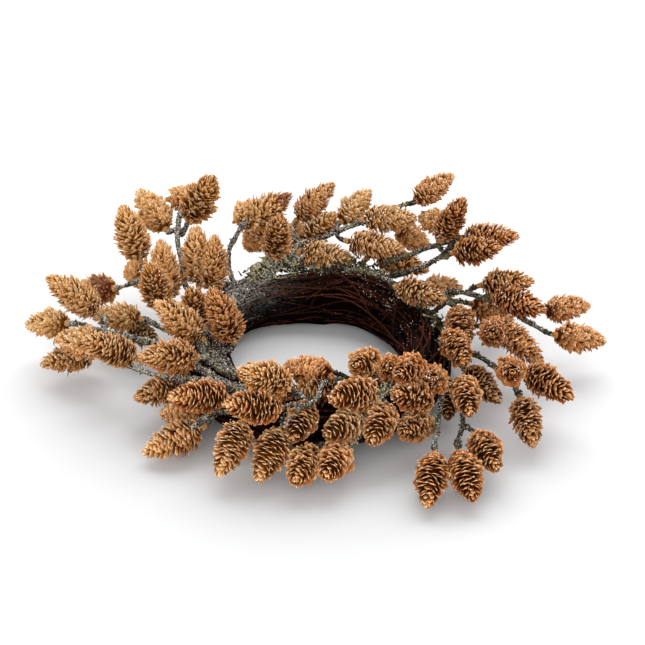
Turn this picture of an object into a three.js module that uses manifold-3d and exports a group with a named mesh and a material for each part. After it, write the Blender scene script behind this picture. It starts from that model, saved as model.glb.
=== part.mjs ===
// A candle ring: a bundle of thin dark vine strands laid round a circle, which lies flat on a table
// round a candle, dressed with forked frosted twigs that carry small tan cones.
// Millimetres, +Z up, the origin on the table at the middle of the ring, +Y to the back.

import * as THREE from "three";
import { mergeVertices } from "three/addons/utils/BufferGeometryUtils.js";
import Module from "manifold-3d";

const wasm = await Module();
wasm.setup();

// Vine ring
const RING_RADIUS = 66; // from the middle of the hole to the middle of the bundle
const BUNDLE_RADIUS = 14.2;
const BUNDLE_PRESSED = 1.4; // by which its middle is lower than its radius: it is pressed flat underneath
// The ring is uneven at the back: degrees round it, degrees to either side, and how far out and how much
// thicker the bundle is there.
const BULGES = [[134, 32, 8, 0], [70, 22, 4, 2.6]];
const STRANDS_ROUND = 12; // thick strands that show round the bundle
const STRAND_RELIEF = 1.4; // the most that a strand stands out, and that the valley beside it lies in
const STRAND_EVENNESS = 0.55; // the least relief, as a share of the most
const STRAND_WANDER = [[2, 0, 14], [5, 40, 9]]; // waves in how strands lie: per turn, start, degrees over
const RING_STEPS = 40;
const BINDER_RADIUS = 2.1;
const BINDER_LIFT = 0.2; // the middle of a binding strand over the bundle's surface
const BINDER_TUCK = 0.6; // how far its ends are tucked under the surface
const BINDER_OVER = [-15, 200]; // degrees over the bundle at which its two ends go in
const BINDER_SIDES = 6;
const BINDER_STEPS = 9;
const BINDER_SLANT = 24; // degrees of ring that a binding strand crosses
const BINDERS_AT = [20, 232]; // degrees round the ring
const VINE_COLOUR = 0x2e1d17;
const VINE_ROUGHNESS = 0.85;

// Twigs
const TWIG_ROOT_RADIUS = 2.5;
const TWIG_END_RADIUS = 1.7;
const TWIG_SIDES = 5;
const TWIG_STEP = 10;
const TWIG_KNOBS = 0.14; // share by which a twig's radius varies
const TWIG_SINK = 0.2; // how far a twig is pressed into the bundle where it lies on it
const SEAT_GAP = 0.35; // between a twig and the bundle
const STALK_RADIUS = 1.25;
const STALK_KNOBS = 0.1;
const STALK_STEPS = 2;
const STALK_AIM = 8; // a stalk leaves the twig at the place closest to this far behind the cone's foot
const STALK_STRAIGHT = 9; // how far behind the foot a stalk has come into line with its cone, at the most
const STALK_BEND_SHARE = 0.55; // that length on a short stalk, as a share of the way from twig to foot
const STALK_LEAVE_SHARE = 0.45; // where between twig and bend the stalk's curve is drawn to
const SPRAY_COLOUR = 0xb5793f;
const SPRAY_ROUGHNESS = 0.8;

// Cones
const CONE_LENGTH = 33; // the usual cone, to which the radii below belong
const CONE_RADII = [[0, 5.2], [0.12, 8.2], [0.33, 9.6], [0.6, 8.1], [0.85, 4.9], [1, 1.4]];
const CONE_CORE = 0.68; // radius of the core between the scales, as a share of the cone's
const FOOT_RADIUS = 2;
const SCALE_ROW_STEP = 6.05; // along the cone
const SCALES_ROUND = 5;
const SCALE_LEAN = 0.62; // how far a scale reaches forward over the next row, in rows
const SCALE_STRAY = 0.45; // by which a scale's tip stands out more or less
const SCALE_TURN_STRAY = 0.1; // by which it stands off its place round the cone, in radians

const RANDOM_SEED = 7;

// Each spray is one twig with its cones. All places are given round the ring, in degrees counted from +X
// towards the back, and in millimetres out from the bundle's middle and up from the table.
// girth and twig: the thickness of its cones and of its twigs, as shares of the usual.
// onRing: where the twig lies on the bundle, as degrees round the ring and degrees over the bundle,
// which are 0 at its outer side, 90 on its top and 180 at its inner side.
// reach: the rest of the twig's way as [round, out, up].
// forks: side twigs, also [round, out, up], each leaving the twig where it comes closest.
// cones: [round, out, up] of the foot, turn from the outward direction, rise, and length.
const SPRAYS = [
  {
    name: "spray_back_left",
    girth: 1.12,
    twig: 0.95,
    onRing: [[127, 78], [135, 55], [142, 34]],
    reach: [[146, 30, 30], [142, 39, 42], [138, 50, 50], [133, 60, 58]],
    forks: [[[136, 64, 48.5]], [[134, 55, 50], [129, 63, 50.5]]],
    cones: [
      [135.5, 68, 50.5, -10, 25, 34],
      [127.3, 73, 60.5, -29, -20, 29],
      [128.5, 61, 55, -150, 62, 37],
      [144, 23, 34.5, -47, 60, 36],
      [142.5, 15, 32, -62, 66, 34],
    ],
  },
  {
    name: "spray_left_back",
    girth: 1.12,
    twig: 1,
    onRing: [[146, 62], [152, 40], [154, 20]],
    reach: [[152, 30, 22], [152, 44, 27], [151, 55, 34]],
    forks: [],
    cones: [
      [148.5, 62.5, 44, 0, 72, 36],
      [155, 35, 29, -55, 60, 37],
      [165, 31.5, 36, 70, 77, 33],
      [147.5, 61, 30, -34, -18, 30],
      [159, 68, 33, -12, -20, 32],
    ],
  },
  {
    name: "spray_left",
    girth: 1.05,
    twig: 0.95,
    onRing: [[165, 52], [174, 44], [181, 28]],
    reach: [[182, 27, 25], [180, 42, 27], [179, 58, 30], [178, 70, 32]],
    forks: [[[171, 27, 25], [169, 36, 27]]],
    cones: [
      [175, 65, 39.5, -8, 33, 36],
      [176, 84, 31, -25, -18, 32],
      [169, 43, 28, -6, -5, 32],
      [166, 50, 15, 148, 10, 26],
    ],
  },
  {
    name: "spray_left_low",
    girth: 1.06,
    twig: 0.9,
    onRing: [[233, 66], [224, 48], [215, 32]],
    reach: [[207, 24, 23], [200, 36, 25], [194, 48, 26], [189, 58, 27]],
    forks: [],
    cones: [
      [188, 59, 32, -33, -5, 34],
      [195, 43, 32, 0, 30, 34],
      [178, 68, 14.5, 28, 0, 33],
      [209, 20, 30, -75, -20, 26],
      [205, 18, 19, 6, 0, 33],
    ],
  },
  {
    name: "spray_left_inner",
    girth: 1.12,
    twig: 1,
    onRing: [[174, 92], [188, 86], [202, 84], [216, 88]],
    reach: [],
    forks: [],
    cones: [
      [197, 4, 41, -35, 34, 34],
      [177, 3, 34, 65, 74, 32],
      [197.5, -15.5, 36.5, -32, 68, 35],
      [212, 16, 41.5, -10, 14, 34],
    ],
  },
  {
    name: "spray_front_left",
    girth: 1.06,
    twig: 0.9,
    onRing: [[247, 60], [239, 38], [231, 16]],
    reach: [[228, 21, 17]],
    forks: [[[243, 21, 26], [246, 28, 27]]],
    cones: [
      [231, 16, 28, -27, 14, 35],
      [225, 22, 18, -67, -20, 32],
      [230.5, 36.5, 16.5, -32, -16, 35],
      [246, 33, 27, -2, -28, 34],
    ],
  },
  {
    name: "spray_front",
    girth: 1.1,
    twig: 0.95,
    onRing: [[280, 106], [271, 92], [264, 70]],
    reach: [[260, 13, 29], [258, 20, 26]],
    forks: [[[263, 10, 36], [261, 14, 42]]],
    cones: [
      [277, -8, 38.5, -133, -10, 32],
      [259, 17, 48, -55, 31, 34],
      [260, 10, 39, -108, -7, 29],
      [257, 26, 38, -53, 19, 34],
      [258, 26.5, 22, -12, -22, 34],
      [267, 19, 35, -13, -5, 30],
      [281, -2, 32, -101, -4, 29],
    ],
  },
  {
    name: "spray_front_middle",
    girth: 1.12,
    twig: 0.9,
    onRing: [[301, 78], [294, 48], [287, 18]],
    reach: [[281, 18, 14], [273, 22, 12]],
    forks: [],
    cones: [
      [295, 11, 35, -77, 15, 33],
      [285.5, 19.5, 26, -52, 8, 30],
      [298, 18, 26, -45, -3, 32],
      [268.5, 31, 13, -15, 2, 32],
      [278.5, 31, 14, -26, 6, 32],
    ],
  },
  {
    name: "spray_front_right_inner",
    girth: 1.08,
    twig: 0.9,
    onRing: [[308, 96], [316, 80]],
    reach: [[317, 10, 28], [316, 19, 26], [313, 24, 22]],
    forks: [],
    cones: [
      [307, -10.5, 37.5, -63, 29, 32],
      [310, 1, 37, -50, 37, 29],
      [316, 13, 43, -69, 20, 31],
      [322, 20, 32, -62, 34, 30],
      [311, 29, 30, -92, 34, 32],
      [311.5, 27.5, 15.5, -71, 17, 31],
    ],
  },
  {
    name: "spray_front_right",
    girth: 1.02,
    twig: 0.75,
    onRing: [[333, 66], [329, 44]],
    reach: [[325, 22, 25], [318, 29, 21], [311, 38, 17], [304, 51, 16]],
    forks: [[[327, 30, 22], [317, 47, 19], [311, 54, 16]]],
    cones: [
      [333, 22, 18, -72, -14, 25],
      [328, 33, 31, -55, -5, 32],
      [301, 60.5, 18, -41, -19, 34],
      [307, 66, 17, -27, -12, 34],
      [315.5, 60.5, 18, -30, -2, 32],
    ],
  },
  {
    name: "spray_right_front",
    girth: 1,
    twig: 0.75,
    onRing: [[358, 62], [350, 44]],
    reach: [[346, 26, 31], [340, 42, 32], [335, 57, 31], [333, 62, 27]],
    forks: [],
    cones: [
      [344, 26, 20, -39, -8, 32],
      [338, 53, 34, -69, 27, 31],
      [341.5, 63, 30, -30, -2, 35],
      [333, 65, 22, -54, -19, 33],
      [346, 14, 41, -62, -1, 32],
    ],
  },
  {
    name: "spray_right",
    girth: 1.04,
    twig: 0.75,
    onRing: [[24, 62], [17, 44]],
    reach: [[10, 22, 28], [4, 33, 31], [359, 41, 35]],
    forks: [[[24, 22, 31], [21, 33, 30]]],
    cones: [
      [11, 21, 35, -100, -5, 33],
      [0, 40, 32.5, -101, 25, 32],
      [21, 37, 28, -9, -31, 31],
      [357, 44, 37.5, -25, -33, 32],
    ],
  },
  {
    name: "spray_right_back",
    girth: 1,
    twig: 0.8,
    onRing: [[48, 72], [40, 60], [33, 46]],
    reach: [[27, 26, 34], [17, 37, 38], [12, 48, 35], [5, 59, 33], [360, 69, 32]],
    forks: [[[10, 58, 33], [9, 67, 34]]],
    cones: [
      [39, -1, 38, -72, 3, 33],
      [39, 22, 29, -4, -18, 30],
      [20, 42, 42, -42, 17, 33],
      [12, 44, 42, -44, 2, 34],
      [8, 74, 34.5, 16, -7, 31],
      [0, 77.5, 29, 15, -16, 33],
    ],
  },
  {
    name: "spray_back_right",
    girth: 1,
    twig: 0.8,
    onRing: [[76, 86], [71, 78], [66, 72], [59, 60]],
    reach: [[51, 20, 33], [43, 26, 41], [40, 33, 46]],
    forks: [[[37, 34, 48]], [[39, 41, 52], [38, 46, 55]]],
    cones: [
      [48, 55, 55, 75, -16, 30],
      [44, 41, 54, -55, 65, 33],
      [37, 49, 57, -49, 8, 34],
      [33, 36, 54, -61, 21, 32],
      [42, 55, 43, -25, -4, 31],
      [66, 30, 33, -85, -7, 34],
    ],
  },
  {
    name: "spray_back",
    girth: 1.04,
    twig: 0.8,
    onRing: [[122, 98], [115, 90]],
    reach: [[108, 15, 33], [101, 22, 37], [94, 26, 41], [86, 25, 46], [79, 27, 51], [69, 37, 56], [62, 54, 61]],
    forks: [],
    cones: [
      [59.5, 60.5, 62, -22, 17, 31],
      [72, 34, 56, -74, 2, 33],
      [81, 38, 51, -31, 19, 31],
      [75, 16, 48.5, -82, -6, 34],
      [64, 55, 39, -32, -36, 30],
      [96, 15, 40, -101, -7, 34],
      [109, 15, 40, -154, 78, 33],
      [101, 39, 35, -37, -4, 29],
      [96, 45, 48, -66, 35, 33],
      [94.5, 34, 34, -102, 52, 33],
    ],
  },
  {
    name: "spray_back_middle",
    girth: 1.12,
    twig: 0.85,
    onRing: [[112, 44], [119, 50], [127, 54]],
    reach: [[126, 27, 33], [124, 31, 42], [121, 31, 50], [119, 31, 55]],
    forks: [[[113, 24, 27], [107, 28, 28], [101, 29, 30]]],
    cones: [
      [116.5, 32, 60.5, -22, -14, 27],
      [116.5, 31.5, 57.5, -100, 28, 34],
      [108, 43, 44, 20, -50, 30],
    ],
  },
];

// A small repeatable source of random numbers from 0 to 1.
function randomFrom(seed) {
  let state = seed;
  return () => {
    state = (state * 1664525 + 1013904223) % 4294967296;
    return state / 4294967296;
  };
}

const random = randomFrom(RANDOM_SEED);

function stray(most) {
  return (2 * random() - 1) * most;
}

function radians(degrees) {
  return THREE.MathUtils.degToRad(degrees);
}

// A value read off a list of [place, value] pairs, straight between them.
function between(pairs, place) {
  const next = Math.max(1, pairs.findIndex(([at]) => at >= place));
  const [fromPlace, fromValue] = pairs[next - 1];
  const [toPlace, toValue] = pairs[next];
  return THREE.MathUtils.mapLinear(place, fromPlace, toPlace, fromValue, toValue);
}

// Places and directions

function place([round, out, up]) {
  const angle = radians(round);
  const distance = RING_RADIUS + out;
  return new THREE.Vector3(distance * Math.cos(angle), distance * Math.sin(angle), up);
}

// How far outside the even ring the middle of the bundle lies at a place round it, and its radius there.
function bundleAt(round) {
  let farther = 0;
  let radius = BUNDLE_RADIUS;
  for (const [at, spread, out, thicker] of BULGES) {
    const off = THREE.MathUtils.euclideanModulo(round - at + 180, 360) - 180;
    const share = Math.exp(-((off / spread) ** 2));
    farther += out * share;
    radius += thicker * share;
  }
  return { farther, radius };
}

function placeOnBundle(round, over, lift) {
  const { farther, radius } = bundleAt(round);
  const out = farther + (radius + lift) * Math.cos(radians(over));
  const up = radius - BUNDLE_PRESSED + (radius + lift) * Math.sin(radians(over));
  return place([round, out, up]);
}

function direction(heading, rise) {
  const level = Math.cos(radians(rise));
  const angle = radians(heading);
  return new THREE.Vector3(level * Math.cos(angle), level * Math.sin(angle), Math.sin(radians(rise)));
}

// Closed meshes and solids

function geometryFrom(points, triangles) {
  const geometry = new THREE.BufferGeometry();
  const positions = points.flatMap((point) => point.toArray());
  geometry.setAttribute("position", new THREE.Float32BufferAttribute(positions, 3));
  geometry.setIndex(triangles.flat());
  return geometry;
}

function solidFrom(geometry) {
  const bare = geometry.clone();
  bare.deleteAttribute("normal");
  bare.deleteAttribute("uv");
  const merged = mergeVertices(bare);
  return new wasm.Manifold(new wasm.Mesh({
    numProp: 3,
    vertProperties: new Float32Array(merged.attributes.position.array),
    triVerts: new Uint32Array(merged.index.array),
  }));
}

// The largest body of a solid, without the crumbs that a cut may leave.
function largestBody(solid) {
  return solid.decompose().reduce((best, body) => (body.volume() > best.volume() ? body : best));
}

function meshFrom(name, solid, colour, roughness) {
  const { vertProperties, triVerts } = solid.getMesh();
  const geometry = new THREE.BufferGeometry();
  geometry.setAttribute("position", new THREE.BufferAttribute(new Float32Array(vertProperties), 3));
  geometry.setIndex(new THREE.BufferAttribute(new Uint32Array(triVerts), 1));
  geometry.computeVertexNormals();
  const material = new THREE.MeshStandardMaterial({ color: colour, roughness, metalness: 0 });
  const mesh = new THREE.Mesh(geometry, material);
  mesh.name = name;
  return mesh;
}

// Rings of points along a way of points, each turned as little as can be from the last,
// so that the rings don't twist against each other. The last ring's turn is given by lastSide.
function ringsAlong(way, radii, sides, lastSide) {
  const along = way.map((point, i) => {
    const from = way[Math.max(0, i - 1)];
    const to = way[Math.min(way.length - 1, i + 1)];
    return to.clone().sub(from).normalize();
  });
  const rings = [];
  let side = lastSide.clone();
  for (let i = way.length - 1; i >= 0; i -= 1) {
    if (i < way.length - 1) {
      side.applyQuaternion(new THREE.Quaternion().setFromUnitVectors(along[i + 1], along[i]));
    }
    side.addScaledVector(along[i], -side.dot(along[i])).normalize();
    const across = new THREE.Vector3().crossVectors(along[i], side);
    const ring = [];
    for (let j = 0; j < sides; j += 1) {
      const angle = (2 * Math.PI * j) / sides;
      const point = way[i].clone();
      point.addScaledVector(side, radii[i] * Math.cos(angle));
      point.addScaledVector(across, radii[i] * Math.sin(angle));
      ring.push(point);
    }
    rings.unshift(ring);
  }
  return rings;
}

// Triangles between neighbouring rings of points that are numbered one ring after the other.
function wallTriangles(ringCount, sides) {
  const triangles = [];
  for (let i = 0; i < ringCount - 1; i += 1) {
    for (let j = 0; j < sides; j += 1) {
      const a = i * sides + j;
      const b = i * sides + ((j + 1) % sides);
      triangles.push([a, b, b + sides], [a, b + sides, a + sides]);
    }
  }
  return triangles;
}

function fanTriangles(first, sides, outward) {
  const triangles = [];
  for (let j = 1; j < sides - 1; j += 1) {
    triangles.push(outward ? [first, first + j, first + j + 1] : [first, first + j + 1, first + j]);
  }
  return triangles;
}

function anySideOf(along) {
  const across = Math.abs(along.z) < 0.9 ? new THREE.Vector3(0, 0, 1) : new THREE.Vector3(1, 0, 0);
  return across.cross(along).normalize();
}

// A closed tube along a way of points, with a radius at each.
function tube(way, radii, sides) {
  const last = way.length - 1;
  const along = way[last].clone().sub(way[last - 1]).normalize();
  const rings = ringsAlong(way, radii, sides, anySideOf(along));
  const triangles = wallTriangles(rings.length, sides);
  triangles.push(...fanTriangles(0, sides, false), ...fanTriangles(last * sides, sides, true));
  return geometryFrom(rings.flat(), triangles);
}

// Vine ring

// The bundle of strands as a ring whose surface stands out in ridges, one for each strand that shows.
// grown widens it evenly, for the seats of the twigs.
function bundle(grown) {
  const columns = 2 * STRANDS_ROUND;
  const noise = randomFrom(RANDOM_SEED + 1);
  const points = [];
  for (let i = 0; i < RING_STEPS; i += 1) {
    const round = (360 * i) / RING_STEPS;
    let wander = 0;
    for (const [perTurn, start, most] of STRAND_WANDER) {
      wander += most * Math.sin(radians(perTurn * round + start));
    }
    for (let j = 0; j < columns; j += 1) {
      const over = (360 * j) / columns + wander;
      const relief = STRAND_RELIEF * THREE.MathUtils.lerp(STRAND_EVENNESS, 1, noise());
      const inOrOut = j % 2 === 0 ? relief : -relief;
      points.push(placeOnBundle(round, over, inOrOut + grown));
    }
  }
  const triangles = [];
  for (let i = 0; i < RING_STEPS; i += 1) {
    for (let j = 0; j < columns; j += 1) {
      const a = i * columns + j;
      const b = i * columns + ((j + 1) % columns);
      const c = ((i + 1) % RING_STEPS) * columns + ((j + 1) % columns);
      const d = ((i + 1) % RING_STEPS) * columns + j;
      triangles.push([a, d, c], [a, c, b]);
    }
  }
  return solidFrom(geometryFrom(points, triangles));
}

// A thin strand that is laid over the bundle at a slant and tucked in at both ends.
function binder(round, grown) {
  const way = [];
  for (let i = 0; i <= BINDER_STEPS; i += 1) {
    const share = i / BINDER_STEPS;
    const over = THREE.MathUtils.lerp(...BINDER_OVER, share);
    const lift = share === 0 || share === 1 ? -BINDER_TUCK : BINDER_LIFT;
    way.push(placeOnBundle(round + BINDER_SLANT * share, over, lift));
  }
  return solidFrom(tube(way, way.map(() => BINDER_RADIUS + grown), BINDER_SIDES));
}

function vines(grown) {
  return BINDERS_AT.reduce((solid, round) => solid.add(binder(round, grown)), bundle(grown));
}

// What lies below the table, which presses the bundle flat underneath.
function tableBlock() {
  const width = 4 * RING_RADIUS;
  const block = new THREE.BoxGeometry(width, width, BUNDLE_RADIUS);
  block.translate(0, 0, -BUNDLE_RADIUS / 2);
  return solidFrom(block);
}

// Sprays

function radiusOfCone(share, length, girth) {
  return between(CONE_RADII, share) * (length / CONE_LENGTH) * girth;
}

// A cone with its stalk as one closed mesh: rings of the stalk, then rows of points in the valleys
// between the scales. Each diamond of four valley points carries one scale, which rises to a tip that
// leans forward over the next row.
function coneOnStalk(root, foot, axis, length, girth) {
  const rows = Math.round(length / SCALE_ROW_STEP);
  const spin = stray(Math.PI);
  const side = anySideOf(axis).applyAxisAngle(axis, spin);
  const across = new THREE.Vector3().crossVectors(axis, side);
  const gap = root.distanceTo(foot);
  const bend = foot.clone().addScaledVector(axis, -Math.min(STALK_BEND_SHARE * gap, STALK_STRAIGHT));
  const leave = root.clone().lerp(bend, STALK_LEAVE_SHARE);
  const stalk = new THREE.CubicBezierCurve3(root, leave, bend, foot).getPoints(STALK_STEPS);
  const radii = stalk.map(() => STALK_RADIUS * (1 + stray(STALK_KNOBS)));
  radii[STALK_STEPS] = FOOT_RADIUS;
  const points = ringsAlong(stalk, radii, SCALES_ROUND, side).flat();
  const triangles = wallTriangles(STALK_STEPS + 1, SCALES_ROUND);
  triangles.push(...fanTriangles(0, SCALES_ROUND, false));

  const step = (2 * Math.PI) / SCALES_ROUND;
  const onCone = (share, radius, angle) => {
    const point = foot.clone().addScaledVector(axis, share * length);
    point.addScaledVector(side, radius * Math.cos(angle));
    return point.addScaledVector(across, radius * Math.sin(angle));
  };
  const footRow = STALK_STEPS * SCALES_ROUND;
  for (let row = 1; row < rows; row += 1) {
    const share = row / rows;
    for (let j = 0; j < SCALES_ROUND; j += 1) {
      const angle = (j + (row % 2) / 2) * step;
      points.push(onCone(share, CONE_CORE * radiusOfCone(share, length, girth), angle));
    }
  }
  const tip = points.length;
  points.push(onCone(1, 0, 0));
  // The valley point of a row, counted in half steps round the cone.
  const valley = (row, halfSteps) => {
    if (row === rows) {
      return tip;
    }
    const j = ((halfSteps - (row % 2)) / 2 + SCALES_ROUND) % SCALES_ROUND;
    return footRow + row * SCALES_ROUND + j;
  };
  for (let j = 0; j < SCALES_ROUND; j += 1) {
    triangles.push([valley(0, 2 * j), valley(0, (2 * j + 2) % (2 * SCALES_ROUND)), valley(1, 2 * j + 1)]);
  }
  for (let row = 0; row < rows - 1; row += 1) {
    const share = (row + 1) / rows;
    const lean = SCALE_LEAN / rows;
    for (let j = 0; j < SCALES_ROUND; j += 1) {
      const halfSteps = 2 * j + (row % 2);
      const angle = (halfSteps * step) / 2;
      const radius = radiusOfCone(share, length, girth) + stray(SCALE_STRAY);
      const scaleTip = points.length;
      points.push(onCone(share + lean, radius, angle + stray(SCALE_TURN_STRAY)));
      const below = valley(row, halfSteps);
      const left = valley(row + 1, halfSteps - 1);
      const right = valley(row + 1, (halfSteps + 1) % (2 * SCALES_ROUND));
      const above = valley(row + 2, halfSteps);
      triangles.push([below, right, scaleTip], [right, above, scaleTip]);
      triangles.push([above, left, scaleTip], [left, below, scaleTip]);
    }
  }
  return solidFrom(geometryFrom(points, triangles));
}

// A twig through the given places: the points that it runs through and its solid.
function twig(places, rootRadius, endRadius) {
  const curve = new THREE.CatmullRomCurve3(places, false, "centripetal");
  const steps = Math.max(2, Math.round(curve.getLength() / TWIG_STEP));
  const way = curve.getSpacedPoints(steps);
  const radii = way.map((point, i) => {
    const radius = THREE.MathUtils.lerp(rootRadius, endRadius, i / steps);
    return radius * (1 + stray(TWIG_KNOBS));
  });
  return { stations: curve.getSpacedPoints(4 * steps), solid: solidFrom(tube(way, radii, TWIG_SIDES)) };
}

function nearest(stations, aim) {
  return stations.reduce((best, point) => (point.distanceTo(aim) < best.distanceTo(aim) ? point : best));
}

function spray({ girth, twig: thickness, onRing, reach, forks, cones }, seat) {
  const rootRadius = thickness * TWIG_ROOT_RADIUS;
  const endRadius = thickness * TWIG_END_RADIUS;
  const onBundle = onRing.map(([round, over]) => placeOnBundle(round, over, rootRadius - TWIG_SINK));
  const trunk = twig([...onBundle, ...reach.map(place)], rootRadius, endRadius);
  const twigs = [trunk];
  for (const fork of forks) {
    const way = fork.map(place);
    const forkRadius = (rootRadius + endRadius) / 2;
    twigs.push(twig([nearest(trunk.stations, way[0]), ...way], forkRadius, endRadius));
  }
  const stations = twigs.flatMap((each) => each.stations);
  let solid = twigs.map((each) => each.solid).reduce((joined, each) => joined.add(each));
  for (const [round, out, up, turn, rise, length] of cones) {
    const foot = place([round, out, up]);
    const axis = direction(round + turn, rise);
    const root = nearest(stations, foot.clone().addScaledVector(axis, -STALK_AIM));
    solid = solid.add(coneOnStalk(root, foot, axis, length, girth));
  }
  return largestBody(solid.subtract(seat));
}

// The whole candle ring

const candleRing = new THREE.Group();
candleRing.name = "candle_ring";
const vineRing = largestBody(vines(0).subtract(tableBlock()));
candleRing.add(meshFrom("vine_ring", vineRing, VINE_COLOUR, VINE_ROUGHNESS));
const seat = vines(SEAT_GAP);
for (const each of SPRAYS) {
  candleRing.add(meshFrom(each.name, spray(each, seat), SPRAY_COLOUR, SPRAY_ROUGHNESS));
}

export default candleRing;
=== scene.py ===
# A candle ring: dark vine strands bundled round a circle, dressed with forked frosted twigs that carry
# small tan cones. Metres, +Z up, the origin on the table at the middle of the ring, +Y to the back.

import math

import bpy
import numpy as np
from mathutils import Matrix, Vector


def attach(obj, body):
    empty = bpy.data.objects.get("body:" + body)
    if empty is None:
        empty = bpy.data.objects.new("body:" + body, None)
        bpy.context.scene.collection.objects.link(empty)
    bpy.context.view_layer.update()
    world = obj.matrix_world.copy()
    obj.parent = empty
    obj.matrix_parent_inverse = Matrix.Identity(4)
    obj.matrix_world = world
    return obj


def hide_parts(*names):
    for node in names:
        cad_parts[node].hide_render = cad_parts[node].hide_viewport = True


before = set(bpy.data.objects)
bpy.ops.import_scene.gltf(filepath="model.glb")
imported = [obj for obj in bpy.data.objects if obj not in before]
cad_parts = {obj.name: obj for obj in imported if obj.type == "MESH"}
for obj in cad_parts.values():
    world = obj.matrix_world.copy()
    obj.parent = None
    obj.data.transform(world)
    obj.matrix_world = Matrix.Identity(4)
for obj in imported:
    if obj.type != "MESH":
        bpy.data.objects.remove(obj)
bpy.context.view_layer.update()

SEED = 11

# Vine ring
RING_RADIUS = 0.066
BUNDLE_RADIUS = 0.0142
BUNDLE_PRESSED = 0.0014  # by which its middle is lower than its radius: it is pressed flat underneath
# The ring is uneven at the back: degrees round it, degrees to either side, then metres farther out and
# metres thicker.
BULGES = [(134, 32, 0.008, 0.0), (70, 22, 0.004, 0.0026)]
CORE_DEPTH = 0.0036  # the dark inside of the bundle lies this far under its surface
STRANDS = 124
STRAND_ROUNDS = 5  # the strands' places go this many times over the bundle, in turn
STRAND_RADII = (0.0004, 0.00078)
STRAND_DEPTHS = (-0.0024, 0.0006)  # of a strand's middle, from the bundle's surface
STRAND_HIGHEST = 0.001
STRAND_STEPS = 84
STRAND_SIDES = 5
LOOSE_STRANDS = 90
LOOSE_RADII = (0.00028, 0.0005)
LOOSE_LIFTS = (0.0002, 0.0016)  # of its middle over the other strands
LOOSE_END_DIP = 0.012
FROSTED_STRANDS = 26
FROSTED_RADII = (0.0004, 0.0007)
FROSTED_LIFTS = (0.0004, 0.0022)
BINDER_LIFT = 0.0011
# Binding strands: degrees round the ring at both ends, degrees over the bundle at both ends, and radius.
BINDERS = [
    (20, 44, -15, 200, 0.0007),
    (232, 256, -15, 200, 0.0009),
    (76, 96, 66, 178, 0.0006),
    (45, 20, 70, 186, 0.0008),
    (301, 322, 20, 190, 0.0007),
]

# Twigs
TWIG_ROOT_RADIUS = 0.0025
TWIG_END_RADIUS = 0.0017
TWIG_SIDES = 10
TWIG_STEP = 0.01
TWIG_SINK = 0.0002
BARK_STEP = 0.0011
BARK_KNOBS = 0.24  # how uneven a twig's thickness is every few millimetres, as a share of it
BARK_GRAIN = 0.16  # and from point to point
KNOBS_PER_METRE = 800
TWIG_GRAINS_PER_METRE = (500, 4700)  # on a bare and on the most frosted twig
KNOB_RADII = (0.0004, 0.0011)
TWIG_GRAIN_RADII = (0.00016, 0.00045)
STALK_RADIUS = 0.00135
STALK_AIM = 0.008
STALK_STRAIGHT = 0.009
STALK_BEND_SHARE = 0.55
STALK_LEAVE_SHARE = 0.45

# Cones
CONE_LENGTH = 0.033
CONE_RADII = [
    (0, 0.0052), (0.12, 0.0082), (0.33, 0.0096), (0.6, 0.0081), (0.85, 0.0049), (0.96, 0.0024), (1, 0.0006),
]  # at shares of its length
CONE_CORE = 0.46  # the radius of its middle, painted dark as shade, as a share of its own
CORE_ENDS = 0.86
COLLAR_RADII = (0.0015, 0.0021)
COLLAR_LENGTH = 0.004
GOLDEN_ANGLE = math.radians(137.508)
# A smooth cone has fewer and broader scales that stand open, and a ragged one many slender ones. Each pair
# of values is for the smoothest and for the most ragged cone. A stray is how unevenly a value is spread.
SCALES = (108, 288)  # on the usual cone
SCALE_HALF_WIDTH = (0.0029, 0.00135)
SCALE_THICKNESS = (0.00045, 0.0005)
SCALE_REACH = (0.98, 0.91)  # how far its tip lies from the axis, as a share of the cone's radius
REACH_STRAY = (0.055, 0.12)
SCALE_FORWARD = (0.05, 0.13)  # how far its tip lies before its root, as a share of the cone's length
FORWARD_STRAY = (0.01, 0.03)
SCALE_ARCH = (0.36, 0.45)  # under a half its tip turns out, over a half it bends forward
ARCH_STRAY = (0.05, 0.1)
EDGE_DROP = (0.1, 0.26)  # how far its edges lie under its ridge, as a share of its half width
DROP_STRAY = (0.06, 0.18)
TWIST_STRAY = (0.14, 0.38)
# The same for every cone: shares, where no unit is given.
RAISED_SCALES = 0.08  # of its scales, which reach out farther
RAISED_REACH = 0.14
ROOT_REACH = 0.38
FORWARD_AT_TIP = 0.08
ARCH_AT_TIP = 0.12
FOOT_FORWARD = (-0.07, 0.07)  # near its foot, at least and at most
FOOT_SHARE = 0.2
TURN_STRAY = 0.09  # radians
TIP_LEAN = 0.0005  # metres
# Stations along a scale as shares of its length, and its half width there on a broad and on a slender scale.
SCALE_STATIONS = np.array([0, 0.48, 0.82, 1.0])
BROAD_SCALE = np.array([0.45, 0.9, 0.98, 0.36])
SLENDER_SCALE = np.array([0.6, 1.0, 0.76, 0.12])
FROSTED_POINTS = 0.18  # the share of the points on the scales' outer side that carry a grain of frost
SCALE_GRAIN_RADII = (0.0002, 0.0005)
STAINED_SIDE = np.array([0.35, -0.8, 0.45])  # the side of a cone that is red
UNSTAINED = (2, 2)
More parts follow.
